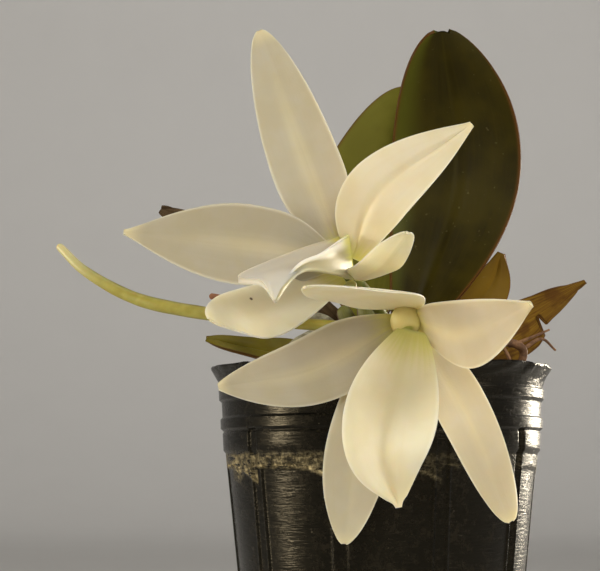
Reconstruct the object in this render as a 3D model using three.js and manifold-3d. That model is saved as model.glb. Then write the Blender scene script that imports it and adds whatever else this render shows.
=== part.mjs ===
// Potted aerangis orchid: two long-spurred white flowers on one stalk, a fan of leaves and aerial
// roots, bark growing medium, and a round plastic pot with panels. Millimetres, +Z up, front towards -Y.
// The origin is the centre of the pot's flat base.

import * as THREE from 'three';
import { mergeVertices } from 'three/addons/utils/BufferGeometryUtils.js';
import Module from 'manifold-3d';

const wasm = await Module();
wasm.setup();

// Driving dimensions
const POT_HEIGHT = 60;
const POT_RIM_RADIUS = 30;
const POT_NECK_RADIUS = 28.5;
const POT_NECK_Z = 57.2;
const POT_SHOULDER_RADIUS = 27.4;
const POT_SHOULDER_Z = 45;
const POT_BASE_RADIUS = 22.6;
const POT_WALL = 1.1;
const POT_FLOOR = 1.2;
const RIB_COUNT = 10;
const RIB_WIDTH = 1.6;
const RIB_SLOPE = 0.35;
const RIB_START_DEG = 21.5; // first rib to the right of the front, seen from the front
const PANEL_INSET = 0.35;
const PANEL_TOP = 43.5;
const PANEL_ARCH = 2.6; // how much lower a panel's top is at its sides than in its middle
const PANEL_STEP = 0.8; // height over which the wall steps out above a panel
const SLOT_RIB = 1; // this rib is a slot instead
const SLOT_DEPTH = 0.5;
const SLOT_TOP = 49.9;
const DRAIN_COUNT = 5;
const DRAIN_RADIUS = 2.5;
const DRAIN_CIRCLE = 14;
const MEDIUM_TOP = 56.5;
const CHIP_COUNT = 30;
const CHIP_SEED = 11;
const CHIP_SMALLEST = [4, 3, 2];
const CHIP_LARGEST = [9, 6, 4];
const CHIP_LEAN = 0.45; // radians
const CHIP_REACH = 22.5; // how far from the middle of the pot a chip's centre may lie
const GAP = 0.3; // clear space between neighbouring pieces
const PLUG_GAP = 0.35; // the same, between the plug and the pot's wall
const TEPAL_THICK = 0.7;
const LIP_THICK = 0.7;
const LEAF_THICK = 1.1;

// Mesh fineness
const BLADE_ROWS = 11;
const BLADE_COLS = 6;
const LEAF_ROWS = 12;
const LEAF_COLS = 6;
const TUBE_SIDES = 8;
const DRAIN_SIDES = 12;
const LIP_ROUNDNESS = 1.4; // how flat a folded lip's keel is
const GOLDEN_TURN = 2.4; // radians from one chip to the next
const TIP_CROWDING = 0.35; // how much closer together the rows lie towards a blade's tip

// Colours
const COLOUR = {
  pot: 0x141413,
  medium: 0x4a3320,
  stem: 0x76823a,
  root: 0x8d8a72,
  dryRoot: 0x5a3d22,
  greenLeaf: 0x56602a,
  bronzeLeaf: 0x5a5526,
  yellowLeaf: 0xa8842c,
  brownLeaf: 0x6b4424,
  tepal: 0xf1ecdc,
  lip: 0xf4f0e2,
  column: 0xd9d98a,
  spur: 0xcfd08c,
  stalk: 0x9aa352,
};

// Basic vectors

const V = (list) => new THREE.Vector3(...list);

// Every closed surface is a list of points and a list of triangles; it becomes a solid here, turned
// so that its faces point out.
function solidOf(points, triangles) {
  let volume = 0;
  for (const [a, b, c] of triangles) {
    volume += points[a].dot(points[b].clone().cross(points[c]));
  }
  const turned = volume < 0 ? triangles.map(([a, b, c]) => [a, c, b]) : triangles;
  const vertProperties = new Float32Array(points.flatMap((p) => [p.x, p.y, p.z]));
  const triVerts = new Uint32Array(turned.flat());
  return new wasm.Manifold(new wasm.Mesh({ numProp: 3, vertProperties, triVerts }));
}

// A closed three.js geometry as a solid
function solidFrom(geometry) {
  geometry.deleteAttribute('normal');
  geometry.deleteAttribute('uv');
  const merged = mergeVertices(geometry, 1e-4);
  const position = merged.attributes.position;
  const points = [];
  for (let i = 0; i < position.count; i += 1) {
    points.push(new THREE.Vector3().fromBufferAttribute(position, i));
  }
  const triangles = [];
  for (let i = 0; i < merged.index.count; i += 3) {
    triangles.push([0, 1, 2].map((k) => merged.index.getX(i + k)));
  }
  return solidOf(points, triangles);
}

// The largest body that is left after the neighbours are cut away
function carve(solid, neighbours) {
  const cut = neighbours.reduce((left, neighbour) => left.subtract(neighbour), solid);
  return cut.decompose().reduce((a, b) => (b.volume() > a.volume() ? b : a));
}

// Sheets

// A curved sheet is a grid of points, rows running from root to tip. It is thickened along its
// normals, split alike on both faces, and closed round its edge. A grown sheet is larger all round.
function sheetSolid(grid, thickness, grow = 0) {
  const rows = grid.length - 1;
  const cols = grid[0].length - 1;
  const wide = grow > 0 ? grownGrid(grid, grow) : grid;
  const half = thickness / 2 + grow;
  const points = [];
  for (const side of [1, -1]) {
    for (let i = 0; i <= rows; i += 1) {
      for (let j = 0; j <= cols; j += 1) {
        points.push(wide[i][j].clone().addScaledVector(gridNormal(wide, i, j), side * half));
      }
    }
  }
  const at = (side, i, j) => (side > 0 ? 0 : (rows + 1) * (cols + 1)) + i * (cols + 1) + j;
  const triangles = [];
  for (let i = 0; i < rows; i += 1) {
    for (let j = 0; j < cols; j += 1) {
      const [a, b, c, d] = [[i, j], [i + 1, j], [i + 1, j + 1], [i, j + 1]];
      triangles.push([at(1, ...a), at(1, ...b), at(1, ...c)], [at(1, ...a), at(1, ...c), at(1, ...d)]);
      triangles.push([at(-1, ...a), at(-1, ...c), at(-1, ...b)], [at(-1, ...a), at(-1, ...d), at(-1, ...c)]);
    }
  }
  const rim = [];
  for (let i = 0; i < rows; i += 1) rim.push([i, 0]);
  for (let j = 0; j < cols; j += 1) rim.push([rows, j]);
  for (let i = rows; i > 0; i -= 1) rim.push([i, cols]);
  for (let j = cols; j > 0; j -= 1) rim.push([0, j]);
  rim.forEach((here, k) => {
    const next = rim[(k + 1) % rim.length];
    triangles.push([at(1, ...here), at(-1, ...next), at(1, ...next)]);
    triangles.push([at(1, ...here), at(-1, ...here), at(-1, ...next)]);
  });
  return solidOf(points, triangles);
}

function gridNormal(grid, i, j) {
  const rows = grid.length - 1;
  const cols = grid[0].length - 1;
  const along = grid[Math.min(i + 1, rows)][j].clone().sub(grid[Math.max(i - 1, 0)][j]);
  const across = grid[i][Math.min(j + 1, cols)].clone().sub(grid[i][Math.max(j - 1, 0)]);
  return along.cross(across).normalize();
}

// The same grid with its outermost rows and columns pushed outwards
function grownGrid(grid, grow) {
  const rows = grid.length - 1;
  const cols = grid[0].length - 1;
  const wide = grid.map((row) => row.map((p) => p.clone()));
  const push = (edge, inner) => edge.clone().sub(inner).setLength(grow);
  for (let i = 0; i <= rows; i += 1) {
    wide[i][0].add(push(grid[i][0], grid[i][1]));
    wide[i][cols].add(push(grid[i][cols], grid[i][cols - 1]));
  }
  for (let j = 0; j <= cols; j += 1) {
    wide[0][j].add(push(grid[0][j], grid[1][j]));
    wide[rows][j].add(push(grid[rows][j], grid[rows - 1][j]));
  }
  return wide;
}

// Half the width of a blade, s of the way from its root to its tip
function halfWidth(blade, s) {
  const { width, rootWidth, widest, blunt, tipWidth = 0.8 } = blade;
  if (s < widest) {
    return (rootWidth + (width - rootWidth) * Math.sin(((Math.PI / 2) * s) / widest)) / 2;
  }
  const u = (s - widest) / (1 - widest);
  return (tipWidth + (width - tipWidth) * (1 - u * u) ** blunt) / 2;
}

// A petal, sepal or leaf: a spine through a few points, an outline from its widths, and a
// cross-section that is an arc of `cup` degrees on each side, each side also folded up by `fold`
// degrees. `face` is the way its inner side looks, at its root and at its tip.
function bladeGrid(blade, rows = BLADE_ROWS, cols = BLADE_COLS) {
  const spine = new THREE.CatmullRomCurve3(blade.spine.map(V), false, 'catmullrom', 0.5);
  const { cup = [10, 10], fold = [0, 0] } = blade;
  const [faceRoot, faceTip] = [V(blade.face), V(blade.faceTip ?? blade.face)];
  const grid = [];
  for (let i = 0; i <= rows; i += 1) {
    const t = i / rows;
    const s = t * (1 + TIP_CROWDING * (1 - t));
    const centre = spine.getPoint(s);
    const tangent = spine.getTangent(s);
    const face = faceRoot.clone().lerp(faceTip, s);
    const right = tangent.clone().cross(face).normalize();
    const up = right.clone().cross(tangent);
    const half = halfWidth(blade, s);
    const arc = THREE.MathUtils.degToRad(cup[0] + (cup[1] - cup[0]) * s);
    const row = [];
    for (let j = 0; j <= cols; j += 1) {
      const v = (2 * j) / cols - 1;
      const turn = Math.abs(v) * arc;
      const out = arc > 1e-4 ? (half * Math.sin(turn)) / arc : half * Math.abs(v);
      const lift = arc > 1e-4 ? (half * (1 - Math.cos(turn))) / arc : 0;
      const tilt = THREE.MathUtils.degToRad(v < 0 ? fold[0] : fold[1]);
      const side = Math.sign(v) * (out * Math.cos(tilt) - lift * Math.sin(tilt));
      const rise = out * Math.sin(tilt) + lift * Math.cos(tilt);
      row.push(centre.clone().addScaledVector(right, side).addScaledVector(up, rise));
    }
    grid.push(row);
  }
  return grid;
}

// A folded lip: a sheet through three lines from root to tip, its near edge, its keel and its far
// edge, curved across like a gutter
function gutterGrid({ near, keel, far }, rows = BLADE_ROWS, cols = BLADE_COLS) {
  const lines = [near, keel, far].map(
    (list) => new THREE.CatmullRomCurve3(list.map(V), false, 'catmullrom', 0.5),
  );
  const grid = [];
  for (let i = 0; i <= rows; i += 1) {
    const t = i / rows;
    const [a, b, c] = lines.map((line) => line.getPoint(t));
    const row = [];
    for (let j = 0; j <= cols; j += 1) {
      const v = (2 * j) / cols - 1;
      const edge = v < 0 ? a : c;
      const reach = Math.abs(v) ** LIP_ROUNDNESS;
      row.push(b.clone().lerp(edge, reach));
    }
    grid.push(row);
  }
  return grid;
}

// Tubes

// A tube through a few points, its radius changing smoothly through the radii given, with closed
// ends
function tubeSolid(path, radii, { steps = 16, sides = TUBE_SIDES, grow = 0 } = {}) {
  const curve = new THREE.CatmullRomCurve3(path.map(V), false, 'catmullrom', 0.5);
  const frames = curve.computeFrenetFrames(steps, false);
  const radiusAt = (s) => {
    const place = s * (radii.length - 1);
    const k = Math.min(Math.floor(place), radii.length - 2);
    return radii[k] + (radii[k + 1] - radii[k]) * (place - k) + grow;
  };
  const points = [];
  for (let i = 0; i <= steps; i += 1) {
    const s = i / steps;
    const centre = curve.getPointAt(s);
    const end = i === 0 ? -grow : i === steps ? grow : 0;
    centre.addScaledVector(frames.tangents[i], end);
    for (let k = 0; k < sides; k += 1) {
      const angle = (2 * Math.PI * k) / sides;
      const out = frames.normals[i].clone().multiplyScalar(Math.cos(angle));
      out.addScaledVector(frames.binormals[i], Math.sin(angle));
      points.push(centre.clone().addScaledVector(out, radiusAt(s)));
    }
  }
  const triangles = [];
  for (let i = 0; i < steps; i += 1) {
    for (let k = 0; k < sides; k += 1) {
      const [a, b] = [i * sides + k, i * sides + ((k + 1) % sides)];
      triangles.push([a, b, b + sides], [a, b + sides, a + sides]);
    }
  }
  for (let k = 1; k < sides - 1; k += 1) {
    const last = steps * sides;
    triangles.push([0, k + 1, k], [last, last + k, last + k + 1]);
  }
  return solidOf(points, triangles);
}

// Rings stacked from the bottom up, closed by a flat disc at each end
function ringStack(rings) {
  const sides = rings[0].length;
  const points = rings.flat();
  const triangles = [];
  for (let i = 0; i < rings.length - 1; i += 1) {
    for (let k = 0; k < sides; k += 1) {
      const [a, b] = [i * sides + k, i * sides + ((k + 1) % sides)];
      triangles.push([a, b, b + sides], [a, b + sides, a + sides]);
    }
  }
  for (const [first, turn] of [[0, false], [(rings.length - 1) * sides, true]]) {
    const hub = points.length;
    points.push(new THREE.Vector3(0, 0, points[first].z));
    for (let k = 0; k < sides; k += 1) {
      const [a, b] = [first + k, first + ((k + 1) % sides)];
      triangles.push(turn ? [hub, a, b] : [hub, b, a]);
    }
  }
  return solidOf(points, triangles);
}

// Pot

// The wall's smooth taper below the shoulder
const taper = (z) => POT_BASE_RADIUS + ((POT_SHOULDER_RADIUS - POT_BASE_RADIUS) * z) / POT_SHOULDER_Z;

// Levels of the outside: base edge, wall with inset panels, stepped rings, neck and flared rim. A
// level without a radius lies on the taper.
const POT_OUTSIDE = [
  { z: 0, radius: POT_BASE_RADIUS - 0.8 },
  { z: 0.8 },
  { z: 1.6, inset: true },
  { z: PANEL_TOP - PANEL_STEP, inset: true, arched: true },
  { z: PANEL_TOP, arched: true },
  { z: POT_SHOULDER_Z },
  { z: 45.6, radius: 27.8 },
  { z: 49.6, radius: 28.0 },
  { z: 50.2, radius: 28.3 },
  { z: 53.4, radius: 28.1 },
  { z: 54.2, radius: POT_NECK_RADIUS + 0.2 },
  { z: POT_NECK_Z, radius: POT_NECK_RADIUS },
  { z: 58.8, radius: POT_RIM_RADIUS - 0.5 },
  { z: POT_HEIGHT, radius: POT_RIM_RADIUS },
];

// The smooth inside, from the floor to the rim
const POT_INSIDE = [
  { z: POT_FLOOR, radius: taper(POT_FLOOR) - POT_WALL },
  { z: POT_SHOULDER_Z, radius: POT_SHOULDER_RADIUS - POT_WALL },
  { z: POT_NECK_Z, radius: POT_NECK_RADIUS - POT_WALL - 0.1 },
  { z: POT_HEIGHT + 0.1, radius: POT_RIM_RADIUS - 0.8 },
];

// Places round the wall, from rib to rib: the two edges of a rib, then across a panel, where `side`
// is 0 in the panel's middle and 1 at its sides
function wallPlaces() {
  const half = THREE.MathUtils.radToDeg(RIB_WIDTH / 2 / POT_NECK_RADIUS);
  const slope = THREE.MathUtils.radToDeg(RIB_SLOPE / POT_NECK_RADIUS);
  const step = 360 / RIB_COUNT;
  const places = [];
  for (let k = 0; k < RIB_COUNT; k += 1) {
    const rib = RIB_START_DEG + k * step;
    const kind = k === SLOT_RIB ? 'slot' : 'rib';
    places.push({ deg: rib - half, kind, side: 1 }, { deg: rib + half, kind, side: 1 });
    for (const share of [0, 0.2, 0.4, 0.6, 0.8, 1]) {
      const deg = rib + half + slope + share * (step - 2 * (half + slope));
      places.push({ deg, kind: 'panel', side: Math.abs(2 * share - 1) });
    }
  }
  return places;
}

// A ring of the wall. Angles are counted from the front, to the right.
function wallRing({ z, radius, inset, arched }) {
  return wallPlaces().map(({ deg, kind, side }) => {
    const angle = THREE.MathUtils.degToRad(deg);
    const height = arched ? z - PANEL_ARCH * side ** 2 : z;
    let r = radius ?? taper(height);
    if (kind === 'panel' && inset) r -= PANEL_INSET;
    return new THREE.Vector3(r * Math.sin(angle), -r * Math.cos(angle), height);
  });
}

// The slot, cut from the foot of the wall to under the upper ring
function makeSlot() {
  const slot = new THREE.BoxGeometry(RIB_WIDTH, 2 * SLOT_DEPTH, SLOT_TOP);
  slot.translate(0, 0, SLOT_TOP / 2);
  const lean = Math.atan((POT_SHOULDER_RADIUS - POT_BASE_RADIUS) / POT_SHOULDER_Z);
  slot.rotateX(lean);
  slot.translate(0, -POT_BASE_RADIUS, 0);
  slot.rotateZ(THREE.MathUtils.degToRad(RIB_START_DEG + (SLOT_RIB * 360) / RIB_COUNT));
  return solidFrom(slot);
}

function makePot() {
  let pot = ringStack(POT_OUTSIDE.map(wallRing)).subtract(ringStack(POT_INSIDE.map(wallRing)));
  pot = pot.subtract(makeSlot());
  for (let k = 0; k < DRAIN_COUNT; k += 1) {
    const angle = (2 * Math.PI * k) / DRAIN_COUNT;
    const hole = new THREE.CylinderGeometry(DRAIN_RADIUS, DRAIN_RADIUS, 3 * POT_FLOOR, DRAIN_SIDES);
    hole.rotateX(Math.PI / 2);
    hole.translate(DRAIN_CIRCLE * Math.sin(angle), DRAIN_CIRCLE * Math.cos(angle), 0);
    pot = pot.subtract(solidFrom(hole));
  }
  return pot;
}

// Growing medium: a plug that fills the pot, with bark chips standing out of its top

function seededRandom(seed) {
  let state = seed;
  return () => {
    state = (state * 16807) % 2147483647;
    return state / 2147483647;
  };
}

// The radius of the pot's inside at a height
function insideRadius(z) {
  const k = POT_INSIDE.findIndex((level) => level.z > z);
  const [low, high] = [POT_INSIDE[k - 1], POT_INSIDE[k]];
  return low.radius + ((high.radius - low.radius) * (z - low.z)) / (high.z - low.z);
}

function makeMedium() {
  const heights = [POT_FLOOR + GAP, POT_SHOULDER_Z - 0.1, MEDIUM_TOP];
  let medium = ringStack(heights.map((z) => wallRing({ z, radius: insideRadius(z) - PLUG_GAP })));
  const random = seededRandom(CHIP_SEED);
  for (let k = 0; k < CHIP_COUNT; k += 1) {
    const size = CHIP_SMALLEST.map((low, axis) => low + (CHIP_LARGEST[axis] - low) * random());
    const chip = new THREE.BoxGeometry(...size);
    chip.rotateX((2 * random() - 1) * CHIP_LEAN);
    chip.rotateY((2 * random() - 1) * CHIP_LEAN);
    chip.rotateZ(random() * Math.PI);
    const reach = CHIP_REACH * Math.sqrt((k + 0.5) / CHIP_COUNT);
    const angle = k * GOLDEN_TURN;
    chip.translate(reach * Math.cos(angle), reach * Math.sin(angle), MEDIUM_TOP + 0.4 + random());
    medium = medium.add(solidFrom(chip));
  }
  return medium;
}

// Stem: short, wrapped in the bases of its leaves, which spread in one flat fan
const STEM_FAN = [
  { path: [[0, 6, 49], [0, 6, 60], [0.5, 6.5, 68]], radii: [3.2, 3.4, 2.6] },
  { path: [[0, 6, 52], [-3, 6.5, 62], [-6.5, 7, 70.5]], radii: [2.6, 2.6, 1.6] },
  { path: [[0, 6, 52], [-1.2, 5.2, 62], [-2.6, 5, 71]], radii: [2.6, 2.7, 1.8] },
  { path: [[0, 6, 52], [2, 5.4, 60], [4.8, 5.4, 66.5]], radii: [2.6, 2.7, 2] },
  { path: [[0, 6, 52], [3.5, 7, 58], [8, 8.5, 63]], radii: [2.4, 2.2, 1.5] },
];

function makeStem(grow) {
  return STEM_FAN.map(({ path, radii }) => tubeSolid(path, radii, { steps: 5, grow }))
    .reduce((all, base) => all.add(base));
}

// Flower stalk: out of the leaf axil, forward over the rim, parting into one slim stalk for each
// flower
const STALK_LINES = [
  { path: [[2.5, 2, 60], [2.2, -8, 62.5], [1.6, -17, 65.5], [1.2, -21, 66.6]], radii: [1, 1.2, 1.2, 1.1] },
  { path: [[1.5, -18.5, 65.9], [-1.5, -25, 70], [-4.7, -28.9, 73.1]], radii: [1, 0.9, 1.1] },
  { path: [[1.4, -19.5, 66.2], [3.2, -29, 66.8], [4.5, -38.1, 65.6]], radii: [1, 0.9, 1.1] },
];

function makeStalk(grow) {
  return STALK_LINES.map(({ path, radii }) => tubeSolid(path, radii, { steps: 8, grow }))
    .reduce((all, line) => all.add(line));
}

// Leaves
const LEAVES = {
  leaf_tall: {
    spine: [[5, 6.5, 66], [14, 13, 96.5], [11.7, 9, 123.6]], face: [0.05, -1, 0.1], colour: 'bronzeLeaf',
    width: 24.4, rootWidth: 6, widest: 0.54, blunt: 0.66, cup: [25, 6], tipWidth: 2,
  },
  leaf_second: {
    spine: [[-2.5, 8, 69], [-2, 17, 90], [8, 22, 115]], face: [0.1, -1, 0.1], colour: 'greenLeaf',
    width: 22.4, rootWidth: 6, widest: 0.47, blunt: 0.45, cup: [25, 10], tipWidth: 2,
  },
  leaf_small_right: {
    spine: [[8.5, 9, 64], [15.5, 13, 70.5], [20.5, 14, 76], [22.6, 14, 82.4]], face: [0.1, -1, 0],
    colour: 'yellowLeaf', width: 8.4, rootWidth: 4, widest: 0.5, blunt: 1.1, cup: [20, 10],
  },
  leaf_folded_right: {
    spine: [[9, 7.5, 61.5], [24.5, 13.5, 68], [38.2, 15, 77]], face: [0.2, -1, 0.3], colour: 'yellowLeaf',
    width: 9.5, rootWidth: 5, widest: 0.4, blunt: 1.5, cup: [10, 10], fold: [10, -50],
  },
  leaf_low_left: {
    spine: [[-2, 2.5, 60.5], [-15, -3, 62], [-30.5, -5, 65]], face: [0.1, -0.6, 0.8], colour: 'greenLeaf',
    width: 9, rootWidth: 5, widest: 0.4, blunt: 0.8, cup: [10, 10],
  },
  leaf_old_left: {
    spine: [[-7.5, 9.5, 68], [-26, 17, 84], [-41.5, 15, 91.3]], face: [0.1, -1, 0.4], colour: 'brownLeaf',
    width: 8, rootWidth: 4, widest: 0.4, blunt: 0.8, cup: [15, 10],
  },
};

// Aerial roots: fat and grey out of the stem, some ending in the bark, one with a bare tip
const ROOTS = {
  root_left: {
    path: [[-1, 9, 60], [-10, 8, 69], [-21.5, 6, 71.5], [-30.5, 4, 73.5]], radii: [1.3, 1.2, 1.1, 0.8],
  },
  root_front: {
    path: [[-1, 5, 58], [-5, -4, 63.5], [-12, -13.5, 64.4], [-16, -16, 60], [-17, -16, 52]],
    radii: [1.5, 1.4, 1.3, 1.2, 1.1],
  },
  root_back: { path: [[1, 9, 58], [4, 16, 62], [1, 21, 60], [-2, 22, 51]], radii: [1.5, 1.6, 1.5, 1.3] },
  root_right: {
    path: [[5, 4, 57], [13, 4.5, 62], [22, 7, 65], [26, 8.7, 63.7], [24.3, 8.5, 58.5], [22, 8, 52]],
    radii: [1.2, 1, 0.8, 0.75, 0.75, 0.75],
  },
};

// Flowers. Each has a dorsal sepal, two petals, two side sepals, a lip, a column and a spur.
const UPPER_FLOWER = {
  tepals: {
    left_petal: {
      spine: [[-7, -33.5, 75], [-18, -35.5, 77], [-41.3, -31, 80.3]], face: [0, -1, 0.25],
      width: 13, rootWidth: 3, widest: 0.6, blunt: 1.25,
    },
    right_petal: {
      spine: [[-4.4, -33.5, 75.6], [0, -38, 85.3], [14.6, -36, 96.4]], face: [-0.1, -1, 0.1],
      width: 11.2, rootWidth: 3, widest: 0.5, blunt: 1.15,
    },
    dorsal_sepal: {
      spine: [[-5.9, -31.2, 75.6], [-13, -28, 94.3], [-20, -23, 115.5]], face: [-0.1, -1, 0.18],
      width: 11.7, rootWidth: 3, widest: 0.39, blunt: 0.65,
    },
    left_sepal: {
      spine: [[-6.4, -31.6, 72.8], [-18.4, -43, 65.9], [-24.8, -54.5, 63.8]], face: [0, -1, 0.35],
      width: 10.2, rootWidth: 3, widest: 0.48, blunt: 0.6,
    },
    right_sepal: {
      spine: [[-4, -31.8, 72.5], [0.1, -47, 72.7], [3.9, -60, 75.7]], face: [0.13, 0.11, 0.98],
      width: 6.2, rootWidth: 3, widest: 0.3, blunt: 0.5,
    },
  },
  lip: {
    near: [[-5, -36, 78.9], [-8.6, -42.5, 75.4], [-12, -47.5, 72.8], [-13.9, -54.5, 68.8],
      [-14.8, -60.5, 66]],
    keel: [[-4.2, -33, 72.2], [-7.4, -42, 72.1], [-11.2, -49, 71.7], [-13.8, -57, 68.4],
      [-14.9, -60.8, 65.8]],
    far: [[-6.4, -34, 79], [-13.3, -43, 75.2], [-20.8, -52, 70.3], [-17.2, -56.5, 68.9],
      [-15.1, -60.6, 65.9]],
  },
  column: { path: [[-5.1, -29.5, 73.5], [-5.4, -32.5, 74.3], [-5.9, -36, 75.2]], radii: [1, 1.4, 1.4, 1.12] },
  spur: {
    path: [[-4.6, -31, 71.4], [-6, -24, 69.5], [-12, -12, 68], [-19, -1, 68.5], [-25, 10, 71]],
    radii: [0.9, 0.9, 1.0, 0.9, 0.5],
  },
};

const LOWER_FLOWER = {
  tepals: {
    left_petal: {
      spine: [[3, -41.5, 64.4], [-10.5, -47, 56.8], [-24.4, -46, 54.5]], face: [0, -1, -0.15],
      width: 10.8, rootWidth: 3, widest: 0.35, blunt: 0.9,
    },
    right_petal: {
      spine: [[5.6, -42, 64.8], [11.8, -55, 61.6], [20.6, -68, 64.6]], face: [-0.77, -0.5, -0.42],
      width: 10.5, rootWidth: 3, widest: 0.47, blunt: 1.15,
    },
    dorsal_sepal: {
      spine: [[4.7, -41, 66.7], [-0.8, -53, 67.5], [-10.6, -64, 67.5]], face: [0, -0.12, -1],
      width: 12.5, rootWidth: 3, widest: 0.5, blunt: 0.8,
    },
    left_sepal: {
      spine: [[3.6, -39.2, 62.6], [-3.2, -44, 45], [-5.7, -41, 31]], face: [0, -1, -0.1],
      width: 11, rootWidth: 3, widest: 0.3, blunt: 0.7,
    },
    right_sepal: {
      spine: [[6, -39.2, 62.8], [13.5, -45, 48.6], [19.4, -42, 34.4]], face: [0, -1, -0.1],
      width: 8, rootWidth: 3, widest: 0.35, blunt: 0.55,
    },
  },
  lip: {
    spine: [[4.9, -43.4, 62.9], [0.9, -55, 46.8], [2.5, -53, 36.7]], face: [0, -1, -0.1],
    width: 13.8, rootWidth: 4.5, widest: 0.4, blunt: 1.35, cup: [25, 10],
  },
  column: { path: [[4.6, -38.7, 65.4], [4.2, -42, 64.9], [3.5, -46, 64.3]], radii: [1, 1.4, 1.75, 1.5] },
  spur: {
    path: [[4.6, -40.2, 62.4], [0, -36, 64], [-8, -34, 64.7], [-20, -33, 65.8], [-33.3, -31.5, 67.9],
      [-41, -29, 70.3], [-48.3, -27, 74.5], [-52.8, -25, 78.7]],
    radii: [0.8, 0.85, 0.9, 1, 1.1, 1.05, 0.9, 0.65],
  },
};

// Pieces in the order in which they keep their shape: each is cut clear of all before it

function bladePiece(name, blade, colour, thickness, rows, cols) {
  const grid = bladeGrid(blade, rows, cols);
  return { name, colour, solid: (grow) => sheetSolid(grid, thickness, grow) };
}

function flowerPieces(prefix, flower) {
  const { tepals, lip, column, spur } = flower;
  const lipGrid = lip.keel ? gutterGrid(lip) : bladeGrid(lip);
  return [
    {
      name: `${prefix}_column`, colour: 'column',
      solid: (grow) => tubeSolid(column.path, column.radii, { steps: 4, grow }),
    },
    { name: `${prefix}_lip`, colour: 'lip', solid: (grow) => sheetSolid(lipGrid, LIP_THICK, grow) },
    ...Object.entries(tepals).map(([part, blade]) => (
      bladePiece(`${prefix}_${part}`, blade, 'tepal', TEPAL_THICK)
    )),
    {
      name: `${prefix}_spur`, colour: 'spur',
      solid: (grow) => tubeSolid(spur.path, spur.radii, { steps: 22, grow }),
    },
  ];
}

const pieces = [
  ...flowerPieces('upper', UPPER_FLOWER),
  ...flowerPieces('lower', LOWER_FLOWER),
  { name: 'flower_stalk', colour: 'stalk', solid: makeStalk },
  { name: 'stem', colour: 'stem', solid: makeStem },
  ...Object.entries(LEAVES).map(([name, leaf]) => (
    bladePiece(name, leaf, leaf.colour, LEAF_THICK, LEAF_ROWS, LEAF_COLS)
  )),
  ...Object.entries(ROOTS).map(([name, { path, radii }]) => (
    { name, colour: 'root', solid: (grow) => tubeSolid(path, radii, { steps: 10, grow }) }
  )),
  { name: 'pot', colour: 'pot', solid: makePot, alone: true },
  { name: 'growing_medium', colour: 'medium', solid: makeMedium },
];

const group = new THREE.Group();
const clearances = [];
for (const piece of pieces) {
  const solid = piece.alone ? piece.solid(0) : carve(piece.solid(0), clearances);
  if (!piece.alone) clearances.push(piece.solid(GAP));
  const mesh = solid.getMesh();
  const geometry = new THREE.BufferGeometry();
  geometry.setAttribute('position', new THREE.BufferAttribute(new Float32Array(mesh.vertProperties), 3));
  geometry.setIndex(new THREE.BufferAttribute(new Uint32Array(mesh.triVerts), 1));
  const glossy = piece.colour === 'pot';
  const material = new THREE.MeshStandardMaterial({
    color: COLOUR[piece.colour],
    roughness: glossy ? 0.25 : 0.6,
    metalness: 0,
  });
  const part = new THREE.Mesh(geometry, material);
  part.name = piece.name;
  group.add(part);
}

export default group;
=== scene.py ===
import math
import random

import bpy
import numpy as np
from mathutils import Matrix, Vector, noise


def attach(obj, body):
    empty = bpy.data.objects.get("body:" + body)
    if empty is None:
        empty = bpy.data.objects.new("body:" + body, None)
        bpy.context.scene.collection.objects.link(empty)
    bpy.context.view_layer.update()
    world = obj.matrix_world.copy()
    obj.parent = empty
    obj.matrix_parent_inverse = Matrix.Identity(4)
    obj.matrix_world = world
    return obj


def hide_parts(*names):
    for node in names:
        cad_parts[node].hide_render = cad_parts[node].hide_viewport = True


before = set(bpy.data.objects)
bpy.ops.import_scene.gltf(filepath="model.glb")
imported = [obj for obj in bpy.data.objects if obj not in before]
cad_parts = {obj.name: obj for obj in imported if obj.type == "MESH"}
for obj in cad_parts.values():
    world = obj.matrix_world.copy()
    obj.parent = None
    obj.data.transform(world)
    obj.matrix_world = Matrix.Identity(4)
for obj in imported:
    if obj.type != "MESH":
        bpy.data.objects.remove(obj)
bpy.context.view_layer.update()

# A potted aerangis orchid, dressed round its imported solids. Lengths here are millimetres in the same
# frame as the solids, and become metres when a mesh is made. Left and right are the viewer's.

MM = 0.001
BODY = "root"
TIP_CROWDING = 0.35  # how much closer together a blade's rows lie towards its tip

# Camera: the photograph's own viewing angle
CAMERA_PLACE = (0, -296, 41.7)
CAMERA_LENS = 100
CAMERA_UP_DEG = 6.4
CAMERA_LEFT_DEG = 2.77

# Studio
FLOOR_RADIUS = 900
FLOOR_SWEEP = 500
WALL_HEIGHT = 1500
WALL_LIGHT_OUT, WALL_LIGHT_Z = 500, 1100
WALL_AIM_OUT, WALL_AIM_Z = 1500, 300
FLOOR_COLOUR = (0.72, 0.71, 0.69)
WORLD_COLOUR = (0.9, 0.93, 1.0)
WORLD_STRENGTH = 0.03

# Pot
POT_HEIGHT = 60
POT_RIM_RADIUS = 30
POT_BASE_RADIUS = 22.6
POT_SHOULDER_RADIUS = 27.4
POT_SHOULDER_Z = 45
POT_FLOOR = 1.2
POT_WALL = 1.1
PANEL_TOP = 42.7
PANEL_INSET = 0.35
PANEL_ARCH = 2.6
RIB_COUNT = 10
RIB_STEP = 360 / RIB_COUNT
RIB_SPAN_DEG = 4  # the wall has close columns this far to each side of a rib
RIB_LIP_PLACE = 1.3
RIB_LIP_WIDTH = 0.3
RIB_TOP = 49.3
RIB_START_DEG = 21.5
SLOT_RIB = 1
SLOT_WIDTH = 1.7
SLOT_DEPTH = 0.95
DRAIN_COUNT = 5
DRAIN_RADIUS = 2.5
DRAIN_CIRCLE = 14

# Growing medium
MEDIUM_TOP = 56.5
CHIP_COUNT = 130
CHIP_CELLS = 4
CHIP_SPREAD = 25.2
CHIP_LIMIT = 27.0  # how far from the pot's middle a chip may reach
CHIP_LEAN = 0.55
GOLDEN_ANGLE = 2.39996

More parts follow.
